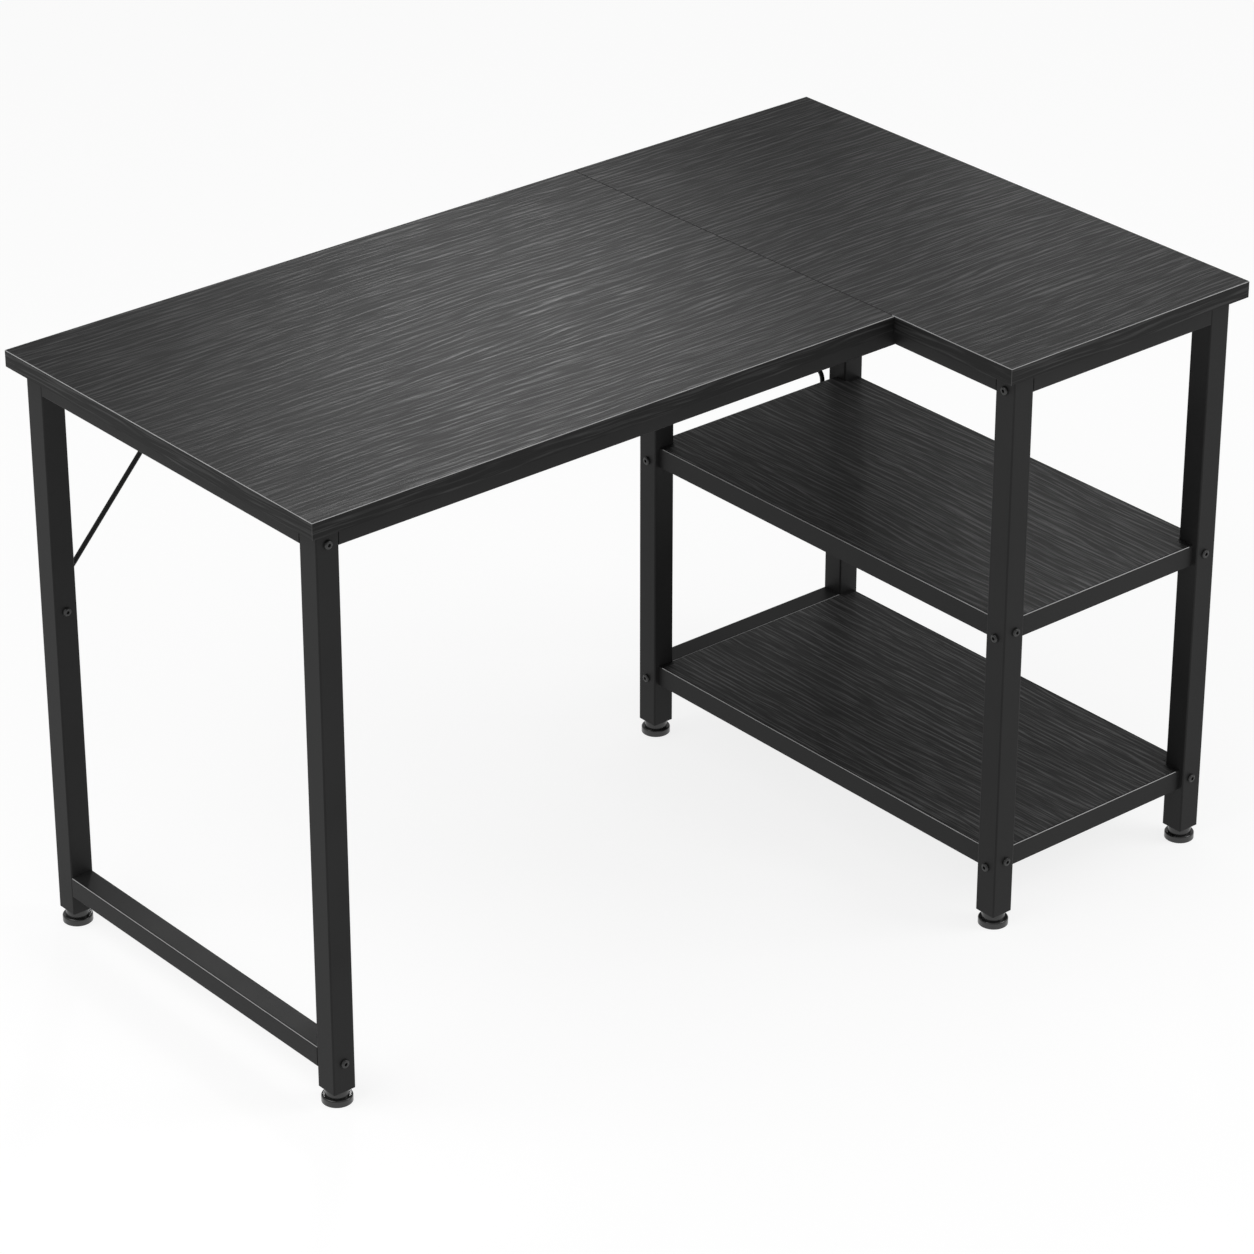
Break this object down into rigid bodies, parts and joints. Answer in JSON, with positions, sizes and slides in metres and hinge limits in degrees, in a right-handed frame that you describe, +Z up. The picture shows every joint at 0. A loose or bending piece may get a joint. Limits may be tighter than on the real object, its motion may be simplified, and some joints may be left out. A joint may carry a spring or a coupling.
{
  "type": "corner desk",
  "caption": "Corner desk: a long worktop and a deeper side worktop on a square-tube steel frame with two shelves, a braced back and levelling feet.",
  "frame": {"origin": "middle of the desk's footprint, on the floor", "axes": "+X right along the long back edge, +Y to the back, +Z up"},
  "size_m": [1.2, 0.76, 0.735],
  "materials": {
    "laminate": "satin charcoal wood-grain laminate",
    "edge_band": "satin charcoal edge band",
    "frame_steel": "satin black powder coat",
    "black_hardware": "black oxide",
    "zinc_steel": "zinc plated",
    "foot_plastic": "semi-gloss black",
    "plug_plastic": "matte black"
  },
  "bodies": {
    "frame": {"angle_brackets": "zinc_steel", "bent_brace": "frame_steel", "brace_lock_nut": "black_hardware", "brace_through_bolt": "black_hardware", "cross_rail": "frame_steel", "frame_bolts": "black_hardware", "front_apron": "frame_steel", "joining_plates": "zinc_steel", "left_bottom_rail": "frame_steel", "left_brace": "frame_steel", "left_front_leg": "frame_steel", "left_front_leg_plug": "plug_plastic", "left_rear_leg": "frame_steel", "left_rear_leg_plug": "plug_plastic", "left_top_rail": "frame_steel", "lower_shelf": "laminate", "lower_shelf_front_rail": "frame_steel", "lower_shelf_left_rail": "frame_steel", "lower_shelf_rear_rail": "frame_steel", "lower_shelf_right_rail": "frame_steel", "main_edge_band": "edge_band", "main_worktop": "laminate", "rail_end_nuts": "zinc_steel", "rear_apron": "frame_steel", "rear_apron_cap": "plug_plastic", "rivet_nuts": "zinc_steel", "shelf_left_front_leg": "frame_steel", "shelf_left_front_leg_plug": "plug_plastic", "shelf_left_rear_leg": "frame_steel", "shelf_left_rear_leg_plug": "plug_plastic", "shelf_right_front_leg": "frame_steel", "shelf_right_front_leg_plug": "plug_plastic", "shelf_right_rear_leg": "frame_steel", "shelf_right_rear_leg_plug": "plug_plastic", "short_bolts": "black_hardware", "side_edge_band": "edge_band", "side_front_apron": "frame_steel", "side_left_top_rail": "frame_steel", "side_right_top_rail": "frame_steel", "side_worktop": "laminate", "small_screws": "zinc_steel", "upper_shelf": "laminate", "upper_shelf_front_rail": "frame_steel", "upper_shelf_left_rail": "frame_steel", "upper_shelf_rear_rail": "frame_steel", "upper_shelf_right_rail": "frame_steel", "worktop_screws": "zinc_steel"},
    "left_rear_foot": {"left_rear_foot_pad": "foot_plastic", "left_rear_foot_stud": "zinc_steel"},
    "left_front_foot": {"left_front_foot_pad": "foot_plastic", "left_front_foot_stud": "zinc_steel"},
    "shelf_left_rear_foot": {"shelf_left_rear_foot_pad": "foot_plastic", "shelf_left_rear_foot_stud": "zinc_steel"},
    "shelf_right_rear_foot": {"shelf_right_rear_foot_pad": "foot_plastic", "shelf_right_rear_foot_stud": "zinc_steel"},
    "shelf_left_front_foot": {"shelf_left_front_foot_pad": "foot_plastic", "shelf_left_front_foot_stud": "zinc_steel"},
    "shelf_right_front_foot": {"shelf_right_front_foot_pad": "foot_plastic", "shelf_right_front_foot_stud": "zinc_steel"}
  },
  "joints": [
    {"name": "left_rear_foot_height", "type": "slide", "parent": "frame", "child": "left_rear_foot", "axis": [0, 0, -1], "range_m": [0, 0.012]},
    {"name": "left_front_foot_height", "type": "slide", "parent": "frame", "child": "left_front_foot", "axis": [0, 0, -1], "range_m": [0, 0.012]},
    {"name": "shelf_left_rear_foot_height", "type": "slide", "parent": "frame", "child": "shelf_left_rear_foot", "axis": [0, 0, -1], "range_m": [0, 0.012]},
    {"name": "shelf_right_rear_foot_height", "type": "slide", "parent": "frame", "child": "shelf_right_rear_foot", "axis": [0, 0, -1], "range_m": [0, 0.012]},
    {"name": "shelf_left_front_foot_height", "type": "slide", "parent": "frame", "child": "shelf_left_front_foot", "axis": [0, 0, -1], "range_m": [0, 0.012]},
    {"name": "shelf_right_front_foot_height", "type": "slide", "parent": "frame", "child": "shelf_right_front_foot", "axis": [0, 0, -1], "range_m": [0, 0.012]}
  ]
}
